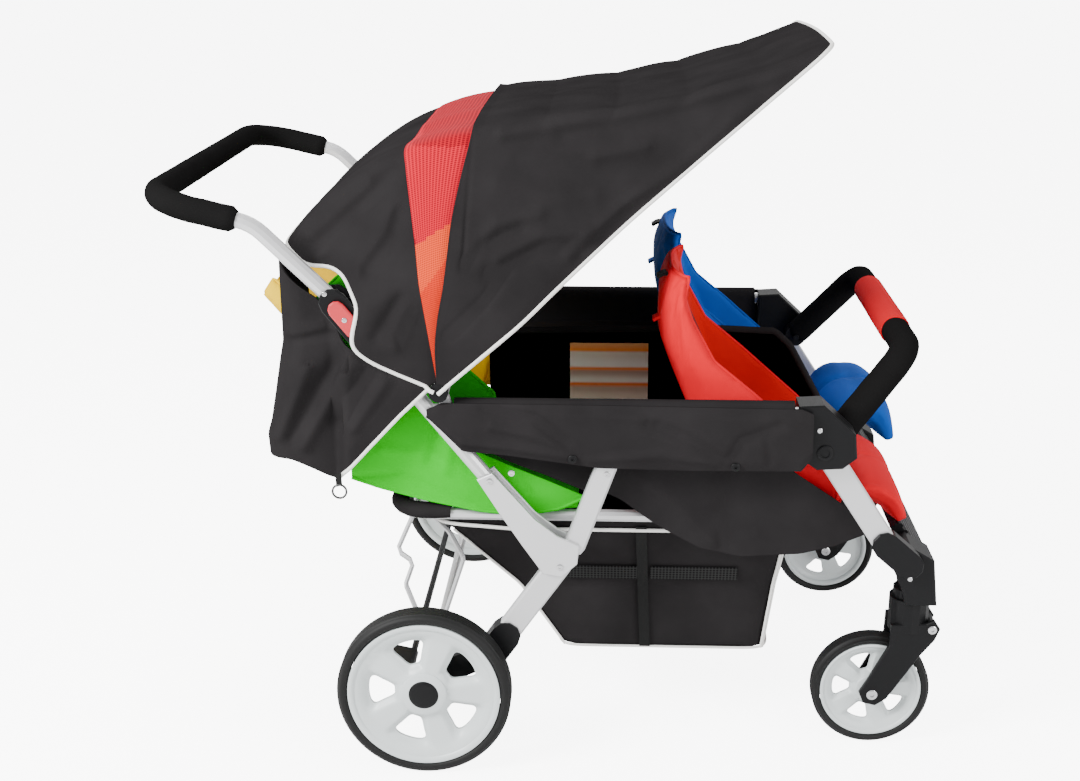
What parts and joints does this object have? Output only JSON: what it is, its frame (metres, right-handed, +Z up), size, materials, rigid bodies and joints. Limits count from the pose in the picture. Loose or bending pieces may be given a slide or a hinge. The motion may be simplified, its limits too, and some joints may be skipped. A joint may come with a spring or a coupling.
{
  "type": "multi seat daycare stroller",
  "caption": "Daycare stroller with fabric bucket seats in two rows on a folding tube frame, with a long canopy, push handle, bumper bar and basket.",
  "frame": {"origin": "centre of the bounding box at the ground", "axes": "+X forward, +Y the left side, +Z up"},
  "size_m": [1.1396, 0.798, 1.0364],
  "materials": {
    "metal": "satin",
    "black_plastic": "matt",
    "grey_plastic": "satin",
    "red_plastic": "satin",
    "tyre": "matt",
    "foam": "foam cover",
    "red_foam": "foam cover",
    "black_cloth": "woven",
    "green_cloth": "woven",
    "yellow_cloth": "woven",
    "red_cloth": "woven",
    "blue_cloth": "woven"
  },
  "bodies": {
    "frame": {"main_tube_left": "metal", "main_tube_right": "metal", "latch_housing_left": "black_plastic", "latch_housing_right": "black_plastic", "hub_plate_left": "metal", "hub_plate_right": "metal", "link_arm_left": "metal", "link_arm_right": "metal", "side_rail_left": "metal", "side_rail_right": "metal", "seat_frame": "metal", "front_joint_left": "black_plastic", "front_joint_right": "black_plastic", "side_pad_left": "black_cloth", "side_pad_right": "black_cloth", "side_skirt_left": "black_cloth", "side_skirt_right": "black_cloth", "basket": "black_cloth", "centre_divider": "black_cloth", "green_seat_base": "green_cloth", "yellow_seat_base": "yellow_cloth", "red_seat_base": "red_cloth", "blue_seat_base": "blue_cloth", "red_leg_rest": "red_cloth", "blue_leg_rest": "blue_cloth", "canopy_hood": "black_cloth", "canopy_apron": "black_cloth"},
    "rear_undercarriage": {"rear_leg_left": "metal", "rear_leg_right": "metal", "axle_bracket_left": "black_plastic", "axle_bracket_right": "black_plastic", "rear_axle": "metal"},
    "brake": {"brake_bar": "black_plastic"},
    "front_undercarriage": {"front_leg_left": "metal", "front_leg_right": "metal", "crown_left": "black_plastic", "crown_right": "black_plastic", "foot_board": "black_plastic"},
    "handle": {"handle_tube": "metal", "handle_grip": "foam"},
    "bumper": {"bumper_bar": "foam", "bumper_sleeve": "red_foam"},
    "visor": {"canopy_visor": "black_cloth"},
    "green_back": {"green_seat_back": "green_cloth"},
    "yellow_back": {"yellow_seat_back": "yellow_cloth"},
    "red_back": {"red_seat_back": "red_cloth"},
    "blue_back": {"blue_seat_back": "blue_cloth"},
    "rear_wheel_left": {"rear_tyre_left": "tyre", "rear_rim_left": "grey_plastic"},
    "caster_left": {"caster_fork_left": "black_plastic"},
    "front_wheel_left": {"front_tyre_left": "tyre", "front_rim_left": "grey_plastic"},
    "latch_lever_left": {"latch_lever_left": "red_plastic"},
    "rear_wheel_right": {"rear_tyre_right": "tyre", "rear_rim_right": "grey_plastic"},
    "caster_right": {"caster_fork_right": "black_plastic"},
    "front_wheel_right": {"front_tyre_right": "tyre", "front_rim_right": "grey_plastic"},
    "latch_lever_right": {"latch_lever_right": "red_plastic"}
  },
  "joints": [
    {"name": "rear_leg_fold", "type": "hinge", "parent": "frame", "child": "rear_undercarriage", "pos_m": [0.01177, 0, 0.311], "axis": [0, -1, 0], "range_deg": [0, 50]},
    {"name": "front_leg_fold", "type": "hinge", "parent": "frame", "child": "front_undercarriage", "pos_m": [0.38077, 0, 0.487], "axis": [0, 1, 0], "range_deg": [0, 40]},
    {"name": "brake_turn", "type": "hinge", "parent": "rear_undercarriage", "child": "brake", "pos_m": [-0.21823, 0, 0.118], "axis": [0, -1, 0], "range_deg": [0, 20]},
    {"name": "handle_fold", "type": "hinge", "parent": "frame", "child": "handle", "pos_m": [-0.29923, 0, 0.698], "axis": [0, -1, 0], "range_deg": [0, 80]},
    {"name": "canopy_tilt", "type": "hinge", "parent": "frame", "child": "visor", "pos_m": [-0.15623, 0, 0.572], "axis": [0, -1, 0], "range_deg": [0, 28]},
    {"name": "bumper_swing", "type": "hinge", "parent": "frame", "child": "bumper", "pos_m": [0.40577, 0, 0.489], "axis": [0, 1, 0], "range_deg": [0, 50]},
    {"name": "red_back_recline", "type": "hinge", "parent": "frame", "child": "red_back", "pos_m": [0.24577, -0.151, 0.366], "axis": [0, -1, 0], "range_deg": [0, 25]},
    {"name": "blue_back_recline", "type": "hinge", "parent": "frame", "child": "blue_back", "pos_m": [0.24577, 0.151, 0.366], "axis": [0, -1, 0], "range_deg": [0, 25]},
    {"name": "green_back_recline", "type": "hinge", "parent": "frame", "child": "green_back", "pos_m": [-0.14223, -0.151, 0.366], "axis": [0, -1, 0], "range_deg": [-15, 0]},
    {"name": "yellow_back_recline", "type": "hinge", "parent": "frame", "child": "yellow_back", "pos_m": [-0.14223, 0.151, 0.366], "axis": [0, -1, 0], "range_deg": [-25, 0]},
    {"name": "rear_wheel_spin_left", "type": "hinge", "parent": "rear_undercarriage", "child": "rear_wheel_left", "pos_m": [-0.18423, 0.38, 0.127], "axis": [0, 1, 0], "continuous": true},
    {"name": "caster_swivel_left", "type": "hinge", "parent": "front_undercarriage", "child": "caster_left", "pos_m": [0.52677, 0.268, 0.214], "axis": [0, 0, 1], "continuous": true},
    {"name": "front_wheel_spin_left", "type": "hinge", "parent": "caster_left", "child": "front_wheel_left", "pos_m": [0.47577, 0.268, 0.088], "axis": [0, 1, 0], "continuous": true},
    {"name": "latch_release_left", "type": "hinge", "parent": "frame", "child": "latch_lever_left", "pos_m": [-0.26916, 0.354, 0.66059], "axis": [0, -1, 0], "range_deg": [0, 14], "stiffness_Nm_per_rad": 0.3, "springref_deg": -8.59},
    {"name": "rear_wheel_spin_right", "type": "hinge", "parent": "rear_undercarriage", "child": "rear_wheel_right", "pos_m": [-0.18423, -0.38, 0.127], "axis": [0, 1, 0], "continuous": true},
    {"name": "caster_swivel_right", "type": "hinge", "parent": "front_undercarriage", "child": "caster_right", "pos_m": [0.52677, -0.268, 0.214], "axis": [0, 0, 1], "continuous": true},
    {"name": "front_wheel_spin_right", "type": "hinge", "parent": "caster_right", "child": "front_wheel_right", "pos_m": [0.47577, -0.268, 0.088], "axis": [0, 1, 0], "continuous": true},
    {"name": "latch_release_right", "type": "hinge", "parent": "frame", "child": "latch_lever_right", "pos_m": [-0.26916, -0.354, 0.66059], "axis": [0, -1, 0], "range_deg": [0, 14], "stiffness_Nm_per_rad": 0.3, "springref_deg": -8.59}
  ],
  "couplings": [
    {"joint": "front_leg_fold", "follows": "rear_leg_fold", "ratio": 0.8}
  ]
}
